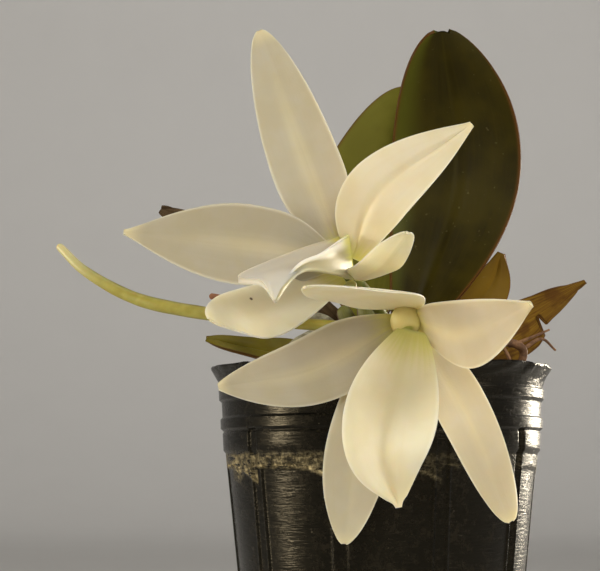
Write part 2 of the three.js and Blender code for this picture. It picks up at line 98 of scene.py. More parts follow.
# Plant
LUMP_SIZE = 3.0  # the size of the swellings on roots, stalks and spurs


# Numbers and curves

def unit(v):
    return v / np.maximum(np.linalg.norm(v, axis=-1, keepdims=True), 1e-9)


def smoothstep(low, high, x):
    t = np.clip((np.asarray(x, float) - low) / (high - low), 0, 1)
    return t * t * (3 - 2 * t)


def bell(x, middle, width):
    return np.exp(-(((np.asarray(x, float) - middle) / width) ** 2))


def full_turn(sides):
    return np.linspace(0, 2 * math.pi, sides, endpoint=False)


def spline(points, s):
    """Places and directions along a smooth curve through the points, s running from 0 to 1."""
    p = np.array(points, float)
    p = np.vstack([2 * p[0] - p[1], p, 2 * p[-1] - p[-2]])
    spans = len(points) - 1
    x = np.clip(np.asarray(s, float) * spans, 0, spans)
    k = np.minimum(x.astype(int), spans - 1)
    u = (x - k)[:, None]
    a, b, c, d = p[k], p[k + 1], p[k + 2], p[k + 3]
    bend, twist = 2 * a - 5 * b + 4 * c - d, 3 * b - 3 * c + d - a
    place = b + 0.5 * ((c - a) * u + bend * u**2 + twist * u**3)
    slope = 0.5 * ((c - a) + 2 * bend * u + 3 * twist * u**2)
    return place, unit(slope)


def even_spline(points, s):
    """The same, with s counted by length."""
    fine = np.linspace(0, 1, 400)
    place, _ = spline(points, fine)
    length = np.concatenate([[0], np.cumsum(np.linalg.norm(np.diff(place, axis=0), axis=1))])
    return spline(points, np.interp(np.asarray(s) * length[-1], length, fine))


# Meshes

def smooth_mesh(name, points, faces):
    """A mesh in metres from points in millimetres"""
    mesh = bpy.data.meshes.new(name)
    mesh.from_pydata((np.asarray(points, float) * MM).tolist(), [], faces)
    mesh.polygons.foreach_set("use_smooth", [True] * len(mesh.polygons))
    return mesh


def add_piece(name, points, faces, material, replaces, values=None):
    """A piece riding on the pot's body. The material reads values, numbers per point, by name."""
    mesh = smooth_mesh(name, points, faces)
    for key, numbers in (values or {}).items():
        layer = mesh.attributes.new(key, "FLOAT", "POINT")
        layer.data.foreach_set("value", np.asarray(numbers, np.float32).ravel())
    mesh.validate()
    mesh.materials.append(material)
    piece = bpy.data.objects.new(name, mesh)
    bpy.context.scene.collection.objects.link(piece)
    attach(piece, BODY)
    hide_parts(*replaces)
    return piece


def grid_faces(rows, cols, start=0, closed=False, flip=False):
    """Quads of a grid of points with rows + 1 rows; a closed grid's columns meet."""
    faces = []
    width = cols if closed else cols + 1
    for i in range(rows):
        for j in range(cols):
            k = (j + 1) % width
            a, b = start + i * width + j, start + i * width + k
            quad = (a, b, b + width, a + width)
            faces.append(quad[::-1] if flip else quad)
    return faces


def sheet_mesh(grid, thickness):
    """A closed body from a grid of points, thickened along its normals. Returns points and faces:
    the face side's points come first, then the back's."""
    rows, cols = grid.shape[0] - 1, grid.shape[1] - 1
    along, across = np.gradient(grid, axis=0), np.gradient(grid, axis=1)
    normal = unit(np.cross(along, across))
    half = thickness[..., None] / 2
    front, back = grid + normal * half, grid - normal * half
    count = (rows + 1) * (cols + 1)
    faces = grid_faces(rows, cols, 0) + grid_faces(rows, cols, count, flip=True)
    rim = [(i, 0) for i in range(rows)] + [(rows, j) for j in range(cols)]
    rim += [(i, cols) for i in range(rows, 0, -1)] + [(0, j) for j in range(cols, 0, -1)]
    index = [i * (cols + 1) + j for i, j in rim]
    for here, after in zip(index, index[1:] + index[:1]):
        faces.append((here, here + count, after + count, after))
    points = np.concatenate([front.reshape(-1, 3), back.reshape(-1, 3)])
    return points, outward(points, faces)


def on_both_sides(numbers):
    """Numbers given per point of a grid, for both sides of the sheet made from it"""
    return np.tile(numbers.ravel(), 2)


def outward(points, faces):
    """The same faces, turned so that they look out of the body."""
    corners = np.array([(*face, face[-1])[:4] for face in faces])
    a, b, c, d = (points[corners[:, k]] for k in range(4))
    volume = np.sum(a * np.cross(b, c)) + np.sum(a * np.cross(c, d))
    return faces if volume > 0 else [face[::-1] for face in faces]


def ring_mesh(rings):
    """A closed body from rings of points, with a fan over each end."""
    count, sides = rings.shape[0], rings.shape[1]
    points = list(rings.reshape(-1, 3)) + [rings[0].mean(0), rings[-1].mean(0)]
    faces = grid_faces(count - 1, sides, closed=True)
    first, last = count * sides, count * sides + 1
    for j in range(sides):
        k = (j + 1) % sides
        faces.append((first, k, j))
        faces.append((last, (count - 1) * sides + j, (count - 1) * sides + k))
    points = np.array(points)
    return points, outward(points, faces)


def carried_normals(tangents, first=(0, 0, 1)):
    """A normal to each direction of a curve, turning as little as it can along the way."""
    normals = []
    normal = np.array(first, float)
    for tangent in tangents:
        normal = normal - tangent * np.dot(normal, tangent)
        normal = unit(normal)
        normals.append(normal)
    return np.array(normals)


def tube_rings(path, radii, steps, sides, lumps, flat=1.0, front=(0, 0, 1)):
    """Rings of a tube with rounded ends. lumps is how far its skin swells and dips, as a share of its
    radius, and flat is how thick it is towards its front, as a share of its width."""
    body = np.linspace(0, 1, steps + 1)
    centres, tangents = even_spline(path, body)
    reach = np.linspace(0, len(radii) - 1, steps + 1)
    radius = np.interp(reach, np.arange(len(radii)), radii)
    normals = carried_normals(tangents, front)
    turn = full_turn(sides)
    rings, shares = [], []

    def add(centre, tangent, normal, r, share):
        binormal = np.cross(tangent, normal)
        ring = []
        for angle in turn:
            out = normal * math.cos(angle) * flat + binormal * math.sin(angle)
            swell = 1 + lumps * noise.noise(Vector((centre + out * r) / LUMP_SIZE))
            ring.append(centre + out * r * swell)
        rings.append(ring)
        shares.append(share)

    cap = [(math.sin(a), math.cos(a)) for a in np.radians([80, 60, 40, 20])]
    for up, level in cap:
        add(centres[0] - tangents[0] * radius[0] * up, tangents[0], normals[0], radius[0] * level, 0)
    for i in range(steps + 1):
        add(centres[i], tangents[i], normals[i], radius[i], body[i])
    for up, level in cap[::-1]:
        add(centres[-1] + tangents[-1] * radius[-1] * up, tangents[-1], normals[-1], radius[-1] * level, 1)
    return np.array(rings), np.array(shares)


def add_tubes(name, tubes, material, slot, replaces, extra=(), **shape):
    """One piece made of tubes, each a path and its radii, and of extra bodies if any are given. The
    material can read along, from root to tip, across, from side to side, and shade, the depth in an
    extra body's hollow."""
    points, faces, along, across, shade = [], [], [], [], []
    for path, radii in tubes:
        rings, shares = tube_rings(path, radii, **shape)
        more, polygons = ring_mesh(rings)
        faces += [tuple(len(points) + i for i in polygon) for polygon in polygons]
        points += list(more)
        sides = rings.shape[1]
        along += list(np.repeat(shares, sides)) + [0, 1]
        sideways = np.sin(full_turn(sides))
        across += list(np.tile(sideways, len(rings))) + [0, 0]
        shade += [0] * len(more)
    for more, polygons, depth in extra:
        faces += [tuple(len(points) + i for i in polygon) for polygon in polygons]
        points += list(more)
        along += [1] * len(more)
        across += [0] * len(more)
        shade += list(depth)
    values = {"along": along, "across": across, "shade": shade}
    return add_piece(name, points, faces, material, replaces, values)


def egg(centre, radii, hollow, rings=20, sides=32):
    """A rounded body with a hollow, given as the way it faces, its width in degrees and its depth as a
    share of the radius. The third result is how deep in the hollow each point lies."""
    centre, radii = np.array(centre, float), np.array(radii, float)
    direction, width, share = hollow
    polar = np.linspace(0.12, math.pi - 0.12, rings)
    a, b = np.meshgrid(polar, full_turn(sides), indexing="ij")
    way = np.stack([np.sin(a) * np.cos(b), np.sin(a) * np.sin(b), np.cos(a)], -1)
    apart = np.degrees(np.arccos(np.clip(way @ unit(np.array(direction, float)), -1, 1)))
    depth = 1 - smoothstep(width * 0.5, width, apart)
    way = way * (1 - share * depth)[..., None]
    points, faces = ring_mesh(centre + way * radii)
    return points, faces, list(depth.ravel()) + [0, 0]


# Blades: petals, sepals, lips and leaves

def half_width(blade, s):
    """Half a blade's width at s: it swells from its root to its widest place, and falls to its tip.
    blunt below 1 is a rounder tip, and above 1 a more pointed one. A nub is a narrow last bit."""
    width, root = blade["width"] / 2, blade["root"] / 2
    tip = blade.get("tip", 0.8) / 2
    widest, blunt = blade["widest"], blade["blunt"]
    rising = root + (width - root) * np.sin(math.pi / 2 * np.minimum(s / widest, 1))
    u = np.clip((s - widest) / (1 - widest), 0, 1)
    falling = tip + (width - tip) * (1 - u * u) ** blunt
    half = np.where(s < widest, rising, falling)
    start, end, loss = blade.get("nub", (2, 3, 0))
    return half * (1 - loss * smoothstep(start, end, s))


def blade_grid(blade, rows, cols):
    """Points of a blade, with s from root to tip and v from its left edge to its right one."""
    t = np.linspace(0, 1, rows + 1)
    v = np.linspace(-1, 1, cols + 1)
    v = np.sign(v) * (1 - (1 - np.abs(v)) ** 1.25)
    s = t * (1 + TIP_CROWDING * (1 - t))
    s_grid, v_grid = np.meshgrid(s, v, indexing="ij")
    if "notch" in blade:
        place, width, depth = blade["notch"]
        end = 1 - depth * bell(v_grid, place, width)
        s_grid = s_grid * (1 + (end - 1) * smoothstep(0.8, 1, s_grid))
    flat_s = s_grid.ravel()
    centre, tangent = spline(blade["spine"], flat_s)
    right = unit(np.cross(tangent, np.array(blade["face"], float)))
    up = np.cross(right, tangent)
    half = half_width(blade, flat_s)
    flat_v = v_grid.ravel()
    if "right_edge" in blade:
        place, share = np.array(blade["right_edge"]).T
        half = np.where(flat_v > 0, half * np.interp(flat_s, place, share), half)
    cup = blade.get("cup", (10, 10))
    arc = np.radians(cup[0] + (cup[1] - cup[0]) * flat_s)
    turn = np.abs(flat_v) * arc
    out, lift = half * np.sin(turn) / arc, half * (1 - np.cos(turn)) / arc
    fold = blade.get("fold", (0, 0))
    tilt = np.radians(np.where(flat_v < 0, fold[0], fold[1]))
    side = np.sign(flat_v) * (out * np.cos(tilt) - lift * np.sin(tilt))
    rise = out * np.sin(tilt) + lift * np.cos(tilt)
    wave = blade.get("wave", 0) * np.abs(flat_v) ** 3
    rise = rise + wave * np.sin(2 * math.pi * (blade.get("waves", 2) * flat_s + 0.2 * np.sign(flat_v)))
    channel = blade.get("channel", 0.08) * bell(flat_v, blade.get("midrib", 0), blade.get("groove", 0.2))
    rise = rise - channel * smoothstep(0, 0.1, flat_s) * (1 - smoothstep(0.85, 1, flat_s))
    for place, width, height in blade.get("ridges", ()):
        rise = rise + height * bell(flat_v, place, width) * np.sin(math.pi * np.clip(flat_s, 0, 1))
    grid = centre + right * side[:, None] + up * rise[:, None]
    return grid.reshape(rows + 1, cols + 1, 3), s_grid, v_grid


def add_blade(name, blade, material, replaces, rows, cols):
    grid, s, v = blade_grid(blade, rows, cols)
    middle, edge = blade.get("thick", (0.7, 0.22))
    fullness = np.sqrt(np.clip(1 - v**2, 0, 1)) * (1 - 0.5 * smoothstep(0.6, 1, s))
    thickness = edge + (middle - edge) * fullness
    points, faces = sheet_mesh(grid, thickness)
    values = {"along": on_both_sides(s), "across": on_both_sides(v)}
    return add_piece(name, points, faces, material, replaces, values)


# Materials

class Shader:
    """A material made of nodes, with short names for the few kinds of node that are used here."""

    def __init__(self, name, **constants):
        self.material = bpy.data.materials.new(name)
        self.material.use_nodes = True
        self.nodes = self.material.node_tree.nodes
        self.links = self.material.node_tree.links
        self.surface = self.nodes["Principled BSDF"]
        for key, value in constants.items():
            self.surface.inputs[key.replace("_", " ")].default_value = value
        self.place = self.nodes.new("ShaderNodeTexCoord").outputs["Object"]
        self.normal = None

    def put(self, socket, value):
        if isinstance(value, bpy.types.NodeSocket):
            self.links.new(value, socket)
        elif isinstance(value, tuple) and len(value) == 3 and socket.type == "RGBA":
            socket.default_value = (*value, 1)
        else:
            socket.default_value = value

    def value(self, name):
        node = self.nodes.new("ShaderNodeAttribute")
        node.attribute_name = name
        return node.outputs["Fac"]

    def math(self, operation, a, b=0.0):
        node = self.nodes.new("ShaderNodeMath")
        node.operation = operation
        self.put(node.inputs[0], a)
        self.put(node.inputs[1], b)
        return node.outputs[0]

    def mix(self, share, a, b):
        node = self.nodes.new("ShaderNodeMix")
        node.data_type = "RGBA"
        self.put(node.inputs[0], share)
        self.put(node.inputs[6], a)
        self.put(node.inputs[7], b)
        return node.outputs[2]

    def band(self, value, low, high, start=0.0, end=1.0):
        """value carried smoothly from low..high to start..end"""
        node = self.nodes.new("ShaderNodeMapRange")
        node.interpolation_type = "SMOOTHSTEP"
        for key, number in enumerate((value, low, high, start, end)):
            self.put(node.inputs[key], number)
        return node.outputs[0]

    def stretched(self, x, y, z):
        node = self.nodes.new("ShaderNodeMapping")
        self.links.new(self.place, node.inputs["Vector"])
        node.inputs["Scale"].default_value = (x, y, z)
        return node.outputs[0]

    def flat_place(self, along, across, offset=0.0):
        """A point made of a blade's own two directions, stretched"""
        node = self.nodes.new("ShaderNodeCombineXYZ")
        self.put(node.inputs[0], self.math("MULTIPLY", self.value("along"), along))
        self.put(node.inputs[1], self.math("MULTIPLY", self.value("across"), across))
        node.inputs[2].default_value = offset
        return node.outputs[0]

    def noise(self, size, detail=2.0, rough=0.5, place=None, distortion=0.0):
        """Noise whose lumps are about size millimetres, or size units of the given place"""
        node = self.nodes.new("ShaderNodeTexNoise")
        self.links.new(place or self.place, node.inputs["Vector"])
        node.inputs["Scale"].default_value = 1 / size if place else 1 / (size * MM)
        node.inputs["Detail"].default_value = detail
        node.inputs["Roughness"].default_value = rough
        node.inputs["Distortion"].default_value = distortion
        return node.outputs["Fac"]

    def near(self, spot, length, half_width, radius):
        """1 within radius millimetres of a spot on a blade, given as its place along and across"""
        node = self.nodes.new("ShaderNodeVectorMath")
        node.operation = "DISTANCE"
        self.links.new(self.flat_place(length, half_width), node.inputs[0])
        node.inputs[1].default_value = (spot[0] * length, spot[1] * half_width, 0)
        return self.band(node.outputs["Value"], radius, radius * 0.5)

    def bump(self, height, depth, strength=1.0):
        """Relief of depth millimetres, added to any that is there already"""
        node = self.nodes.new("ShaderNodeBump")
        node.inputs["Strength"].default_value = strength
        node.inputs["Distance"].default_value = depth * MM
        self.put(node.inputs["Height"], height)
        if self.normal is not None:
            self.links.new(self.normal, node.inputs["Normal"])
        self.normal = node.outputs["Normal"]

    def finish(self, colour, roughness=None):
        self.put(self.surface.inputs["Base Color"], colour)
        if roughness is not None:
            self.put(self.surface.inputs["Roughness"], roughness)
        if self.normal is not None:
            self.links.new(self.normal, self.surface.inputs["Normal"])
        return self.material


TEPAL_TONES = ((0.84, 0.77, 0.58), (0.80, 0.72, 0.50))
# Painted shade on a folded lip: its outer face, and its inside, which is darker towards the root
FOLDED_SHADED_TONES = ((0.42, 0.375, 0.225), (0.38, 0.335, 0.19))
FOLDED_INSIDE_SHADED = ((0.46, 0.42, 0.33), (0.66, 0.63, 0.54))
# Painted highlight: the pale rims of sepals, petals and lips
RIM_HIGHLIGHT = (0.93, 0.90, 0.79)
THROAT = (0.60, 0.59, 0.14)
MIDRIB = (0.79, 0.71, 0.42)
TIP_WARM = (0.82, 0.72, 0.44)
SPECK_SIZE = (30, 5, 0.35)  # length and half-width of its sepal, and its own radius


def tepal_material(name, offset, throat_reach=0.18, speck=None, shade=1.0, folded=False):
    """Waxy ivory, greener towards the throat, with a warmer midrib, faint veins and a pale rim of painted
    highlight. A folded lip's near half shows its outer face in painted shade, its far half its inside in
    lighter painted shade, and its near rim a broad painted highlight."""
    sh = Shader(name, Subsurface_Weight=0.5, Subsurface_Scale=0.0016, Roughness=0.5)
    sh.surface.inputs["Subsurface Radius"].default_value = (1.0, 0.75, 0.4)
    sh.surface.inputs["Sheen Weight"].default_value = 0.08
    along, across = sh.value("along"), sh.math("ABSOLUTE", sh.value("across"))
    streaks = sh.noise(1.0, 2.0, 0.5, sh.flat_place(1.2, 7.0, offset))
    clouds = sh.noise(6.0, 2.0)
    # shade scales the tones: painted shade below 1, painted light above it. A folded lip's tones are
    # painted shade.
    pale, deep = (tuple(shade * c for c in tone) for tone in (FOLDED_SHADED_TONES if folded else TEPAL_TONES))
    colour = sh.mix(sh.band(clouds, 0.35, 0.65), pale, deep)
    midrib = sh.math("MULTIPLY", sh.band(across, 0.0, 0.4, 0.3, 0.0), sh.band(along, 0.95, 0.5))
    colour = sh.mix(midrib, colour, MIDRIB)
    colour = sh.mix(sh.band(streaks, 0.45, 0.75, 0.0, 0.3), colour, deep)
    # A folded lip gets painted shade on its inside, darker towards the root, and a broad painted highlight
    # on its near rim; other blades get a narrow painted highlight on their rims.
    if folded:
        inside = sh.mix(sh.band(along, 0.3, 0.75), *FOLDED_INSIDE_SHADED)
        colour = sh.mix(sh.band(sh.value("across"), 0.0, 0.2), colour, inside)
        colour = sh.mix(sh.band(sh.value("across"), -0.74, -0.96, 0.0, 0.9), colour, RIM_HIGHLIGHT)
    else:
        colour = sh.mix(sh.band(across, 0.9, 1.0, 0.0, 0.35), colour, RIM_HIGHLIGHT)
    colour = sh.mix(sh.band(along, 0.92, 1.0, 0.0, 0.5), colour, TIP_WARM)
    ragged = sh.math("ADD", along, sh.band(streaks, 0.3, 0.7, -0.02, 0.02))
    colour = sh.mix(sh.band(ragged, throat_reach, 0.0, 0.0, 0.85), colour, THROAT)
    if speck:
        colour = sh.mix(sh.near(speck, *SPECK_SIZE), colour, (0.12, 0.08, 0.04))
    sh.bump(streaks, 0.05, 0.4)
    sh.bump(sh.noise(0.28, 2.0), 0.025, 0.7)
    return sh.finish(colour, sh.band(clouds, 0.3, 0.7, 0.42, 0.56))


def spur_material(name):
    """Yellow-green, paler and whiter towards the tip"""
    sh = Shader(name, Subsurface_Weight=0.3, Subsurface_Scale=0.001, Roughness=0.42)
    along = sh.value("along")
    lengthwise = sh.noise(2.0, 3.0)
    colour = sh.mix(sh.band(lengthwise, 0.35, 0.7), (0.30, 0.265, 0.04), (0.375, 0.335, 0.07))
    colour = sh.mix(sh.band(along, 0.0, 0.15, 0.6, 0.0), colour, (0.62, 0.62, 0.25))
    colour = sh.mix(sh.band(along, 0.8, 1.0, 0.0, 0.75), colour, (0.62, 0.58, 0.30))
    colour = sh.mix(sh.band(sh.noise(0.7, 2.0), 0.66, 0.75, 0.0, 0.5), colour, (0.36, 0.27, 0.07))
    sh.bump(sh.noise(0.5, 2.0), 0.03, 0.5)
    return sh.finish(colour)


def column_material(name):
    """Yellow-green, creamier towards the cap, with painted shade in the hollow under it"""
    sh = Shader(name, Subsurface_Weight=0.3, Subsurface_Scale=0.001, Roughness=0.5)
    sh.surface.inputs["Subsurface Radius"].default_value = (1.0, 0.75, 0.4)
    along = sh.value("along")
    colour = sh.mix(sh.band(along, 0.3, 0.9), (0.60, 0.59, 0.14), (0.80, 0.69, 0.28))
    colour = sh.mix(sh.band(sh.noise(2.5, 1.0), 0.45, 0.7, 0.0, 0.4), colour, (0.80, 0.60, 0.20))
    # painted shade: darker yellow-green deep in the cap's hollow
    colour = sh.mix(sh.band(sh.value("shade"), 0.35, 0.95), colour, (0.56, 0.56, 0.12))
    sh.bump(sh.noise(0.5, 2.0), 0.04, 0.5)
    return sh.finish(colour)


def leaf_material(name, deep, light, rim, offset, gloss=0.38, margin=None):
    """Leathery leaf: fine lengthwise grain, a paler midrib, a coloured rim and small pale specks"""
    sh = Shader(name, Roughness=gloss, Subsurface_Weight=0.05, Subsurface_Scale=0.001)
    sh.surface.inputs["Specular IOR Level"].default_value = 0.07
    side = sh.value("across")
    across = sh.math("ABSOLUTE", side)
    grain = sh.noise(1.0, 4.0, 0.6, sh.flat_place(3.0, 16.0, offset))
    blotch = sh.noise(9.0, 3.0)
    colour = sh.mix(sh.band(blotch, 0.35, 0.65), deep, light)
    colour = sh.mix(sh.band(grain, 0.4, 0.7, 0.0, 0.35), colour, light)
    if margin:
        colour = sh.mix(sh.band(side, -0.45, -0.95, 0.0, 0.85), colour, margin)
    colour = sh.mix(sh.band(across, 0.0, 0.07, 0.55, 0.0), colour, light)
    colour = sh.mix(sh.band(across, 0.93, 1.0, 0.0, 0.9), colour, rim)
    specks = sh.noise(0.9, 1.0)
    colour = sh.mix(sh.band(specks, 0.72, 0.78, 0.0, 0.14), colour, (0.26, 0.23, 0.10))
    sh.bump(grain, 0.05, 0.4)
    sh.bump(sh.noise(0.6, 3.0), 0.04, 0.5)
    return sh.finish(colour, sh.band(grain, 0.3, 0.7, gloss - 0.03, gloss + 0.08))


def dry_material(name, deep, light):
    """Withered leaf: papery, streaked and darker along its edges"""
    sh = Shader(name, Roughness=0.7)
    sh.surface.inputs["Specular IOR Level"].default_value = 0.12
    across = sh.math("ABSOLUTE", sh.value("across"))
    streaks = sh.noise(1.0, 5.0, 0.7, sh.flat_place(2.5, 10.0))
    colour = sh.mix(sh.band(streaks, 0.35, 0.65), deep, light)
    colour = sh.mix(sh.band(sh.noise(4.0, 4.0), 0.5, 0.65, 0.0, 0.8), colour, deep)
    colour = sh.mix(sh.band(across, 0.85, 1.0, 0.0, 0.6), colour, deep)
    sh.bump(streaks, 0.35, 0.9)
    sh.bump(sh.noise(0.8, 4.0), 0.12, 0.8)
    return sh.finish(colour)


def root_material(name, deep, light, tip):
    """Spongy, mottled velamen, and a bare growing tip"""
    sh = Shader(name, Roughness=0.75)
    along = sh.value("along")
    mottle = sh.noise(1.2, 4.0, 0.65)
    colour = sh.mix(sh.band(mottle, 0.35, 0.65), deep, light)
    colour = sh.mix(sh.band(sh.noise(3.0, 2.0), 0.5, 0.65, 0.0, 0.6), colour, deep)
    colour = sh.mix(sh.band(along, 0.88, 0.94), colour, tip)
    sh.bump(mottle, 0.15, 0.7)
    sh.bump(sh.noise(0.3, 2.0), 0.05, 0.6)
    return sh.finish(colour)


def sheath_material(name):
    """Green leaf bases, veined lengthwise, with brown papery margins"""
    sh = Shader(name, Roughness=0.5)
    across = sh.math("ABSOLUTE", sh.value("across"))
    veins = sh.noise(1.0, 4.0, 0.6, sh.flat_place(2.0, 14.0))
    colour = sh.mix(sh.band(veins, 0.35, 0.65), (0.09, 0.09, 0.008), (0.17, 0.17, 0.018))
    colour = sh.mix(sh.band(sh.value("along"), 0.55, 0.1, 0.0, 0.7), colour, (0.20, 0.11, 0.03))
    edge = sh.math("ADD", across, sh.band(veins, 0.3, 0.7, -0.04, 0.04))
    colour = sh.mix(sh.band(edge, 0.84, 0.93), colour, (0.075, 0.032, 0.012))
    sh.bump(veins, 0.15, 0.6)
    return sh.finish(colour)


def stalk_material(name):
    sh = Shader(name, Roughness=0.5, Subsurface_Weight=0.1, Subsurface_Scale=0.001)
    sh.surface.inputs["Specular IOR Level"].default_value = 0.2
    mottle = sh.noise(2.0, 3.0)
    colour = sh.mix(sh.band(mottle, 0.35, 0.65), (0.09, 0.10, 0.016), (0.15, 0.155, 0.03))
    colour = sh.mix(sh.band(sh.noise(0.8, 2.0), 0.62, 0.72, 0.0, 0.6), colour, (0.22, 0.13, 0.05))
    sh.bump(sh.noise(0.6, 2.0), 0.03, 0.5)
    return sh.finish(colour)


def bark_material(name):
    """Fir bark: layered red-brown and grey, dusty on top"""
    sh = Shader(name, Roughness=0.85)
    layers = sh.noise(2.0, 5.0, 0.7, None, 0.4)
    colour = sh.mix(sh.band(layers, 0.35, 0.62), (0.035, 0.018, 0.009), (0.16, 0.078, 0.035))
    colour = sh.mix(sh.band(sh.noise(5.0, 3.0), 0.52, 0.68, 0.0, 0.7), colour, (0.19, 0.14, 0.09))
    sh.bump(layers, 0.5, 0.9)
    sh.bump(sh.noise(0.5, 4.0), 0.15, 0.8)
    return sh.finish(colour)


def pot_material(name):
    """Glossy black plastic: fine level ripples from its forming, dust, and a crust of lime on a ledge"""
    sh = Shader(name, Roughness=0.2)
    sh.surface.inputs["Specular IOR Level"].default_value = 0.17
    sh.surface.inputs["Specular Tint"].default_value = (1, 0.87, 0.6, 1)
    ripple = sh.noise(1.0, 3.0, 0.6, sh.stretched(300, 300, 3000), 0.4)
    fine = sh.noise(1.0, 2.0, 0.5, sh.stretched(600, 600, 5200))
    dust = sh.noise(1.6, 5.0, 0.7)
    crumbs = sh.noise(0.9, 5.0, 0.7, sh.stretched(500, 500, 1400))
    lime = sh.math("MULTIPLY", sh.value("lime"), sh.band(crumbs, 0.38, 0.56))
    specks = sh.band(sh.noise(0.6, 1.0), 0.77, 0.82, 0.0, 0.45)
    colour = sh.mix(sh.band(dust, 0.45, 0.75), (0.003, 0.003, 0.0025), (0.012, 0.010, 0.007))
    colour = sh.mix(specks, colour, (0.16, 0.14, 0.10))
    patches = sh.band(sh.noise(0.8, 4.0, 0.75), 0.42, 0.62)
    deposit = sh.mix(patches, (0.15, 0.12, 0.06), (0.72, 0.60, 0.34))
    colour = sh.mix(lime, colour, deposit)
    sh.bump(ripple, 0.17, 0.6)
    sh.bump(fine, 0.03, 0.35)
    sh.bump(lime, 0.35, 0.9)
    rough = sh.band(dust, 0.3, 0.7, 0.22, 0.29)
    rough = sh.math("ADD", rough, sh.math("MULTIPLY", lime, 0.5))
    return sh.finish(colour, rough)


# Pot: one closed body, outside, rim, inside and floor

POT_LEVELS = [
    (0, POT_BASE_RADIUS - 0.9), (0.35, POT_BASE_RADIUS - 0.25), (1.0, POT_BASE_RADIUS + 0.1),
    (POT_SHOULDER_Z, POT_SHOULDER_RADIUS), (45.5, 27.8), (48.4, 27.95), (48.8, 27.75), (49.3, 28.3),
    (50.9, 28.35), (51.3, 28.0), (53.9, 28.15), (54.3, 28.6), (55.9, 28.7), (56.3, 28.4), (57.5, 28.75),
    (58.9, 29.5), (59.7, 29.95), (POT_HEIGHT, POT_RIM_RADIUS),
]


def outer_radius(z):
    levels = np.array(POT_LEVELS)
    return np.interp(z, levels[:, 0], levels[:, 1])


def panel_top(from_rib_deg):
    """Height of a panel's top, which sinks towards the panel's right-hand side"""
    across = (from_rib_deg % RIB_STEP) / RIB_STEP
    return PANEL_TOP - PANEL_ARCH * np.clip(2 * across - 1, 0, 1) ** 2


def panel_relief(angle_deg, z):
    """How far the wall stands in. Between the ribs are inset panels; a rib is a shallow groove between
    two thin lips, and one rib is a deep slot."""
    turns = (angle_deg - RIB_START_DEG + RIB_STEP / 2) / RIB_STEP
    from_rib = (turns - np.floor(turns) - 0.5) * RIB_STEP
    which = np.floor(turns) % RIB_COUNT
    radius = outer_radius(z)
    rib = np.abs(np.radians(from_rib)) * radius
    top = panel_top(from_rib)
    foot = smoothstep(1.0, 2.2, z)
    lip = bell(rib, RIB_LIP_PLACE, RIB_LIP_WIDTH)
    inset = PANEL_INSET * (1 - lip) * (1 - smoothstep(top - 0.5, top + 0.2, z)) * foot
    groove = 1 - smoothstep(RIB_LIP_PLACE - 0.5, RIB_LIP_PLACE - 0.1, rib)
    under_ring = 1 - smoothstep(RIB_TOP - 0.5, RIB_TOP, z)
    inset = np.maximum(inset, PANEL_INSET * groove * under_ring * foot)
    slot = 1 - smoothstep(SLOT_WIDTH / 2 - 0.2, SLOT_WIDTH / 2 + 0.15, rib)
    return np.where(which == SLOT_RIB, np.maximum(inset, SLOT_DEPTH * slot * under_ring * foot), inset)


def build_pot():
    angles = []
    for k in range(RIB_COUNT):
        middle = RIB_START_DEG + k * RIB_STEP
        angles += list(middle + np.linspace(-RIB_SPAN_DEG, RIB_SPAN_DEG, 25))
        angles += list(middle + np.linspace(RIB_SPAN_DEG + 0.6, RIB_STEP - RIB_SPAN_DEG - 0.6, 26))
    angles = np.array(angles)
    heights = sorted(set(
        [z for z, _ in POT_LEVELS] + list(np.linspace(1.2, 2.4, 5)) + list(np.linspace(4, 38, 18))
        + list(np.linspace(38.6, 45, 22)) + list(np.linspace(46.5, 48, 3))
        + list(np.linspace(48.6, 60, 32))
    ))
    sides = len(angles)
    rings = []
    turn = np.radians(angles)
    out = np.stack([np.sin(turn), -np.cos(turn), np.zeros(sides)], 1)
    wobble = np.array([noise.noise(Vector((math.sin(a) * 9, math.cos(a) * 9, 3.0))) for a in turn])
    for z in heights:
        radius = outer_radius(z) - panel_relief(angles, z)
        ragged = smoothstep(58, 60, z)
        crinkle = smoothstep(56.5, 59, z) * np.roll(wobble, int(7 * z))
        radius = radius + 0.2 * ragged * wobble + 0.22 * crinkle
        ring = out * radius[:, None]
        ring[:, 2] = z + 0.3 * ragged * np.roll(wobble, 40)
        rings.append(ring)
    outside = len(rings)
    inside = ((59.95, 0.45), (59.4, 1.0), (57.2, POT_WALL + 0.35), (45, POT_WALL), (POT_FLOOR, POT_WALL))
    for z, inward in inside:
        ring = out * (outer_radius(z) - inward)
        ring[:, 2] = z
        rings.append(ring)
    points, faces = ring_mesh(np.array(rings))
    lime = lime_crust(points)
    lime[outside * sides:] = 0
    pot = add_piece("pot_shell", points, faces, pot_material("pot"), ["pot"], {"lime": lime})
    cut_drains(pot)


def lime_crust(points):
    """How thick the lime lies: a seam along the panels' tops and a thin crust above it, most of it at
    the left, and a patch beside the leftmost rib that is seen from the front"""
    z = points[:, 2]
    angle = np.degrees(np.arctan2(points[:, 0], -points[:, 1]))
    leftward = 1 - smoothstep(-25, 25, angle)
    ledge = panel_top(angle - RIB_START_DEG)
    crust = smoothstep(ledge - 0.5, ledge + 0.1, z) * (1 - smoothstep(44.3, 45.3, z))
    seam = 1.3 * bell(z, ledge + 0.1, 0.3)
    lime = np.maximum(0.34 * crust, seam) * (0.15 + 0.85 * leftward)
    return np.maximum(lime, 0.8 * bell(z, 42.5, 1.6) * bell(angle, -66, 4))


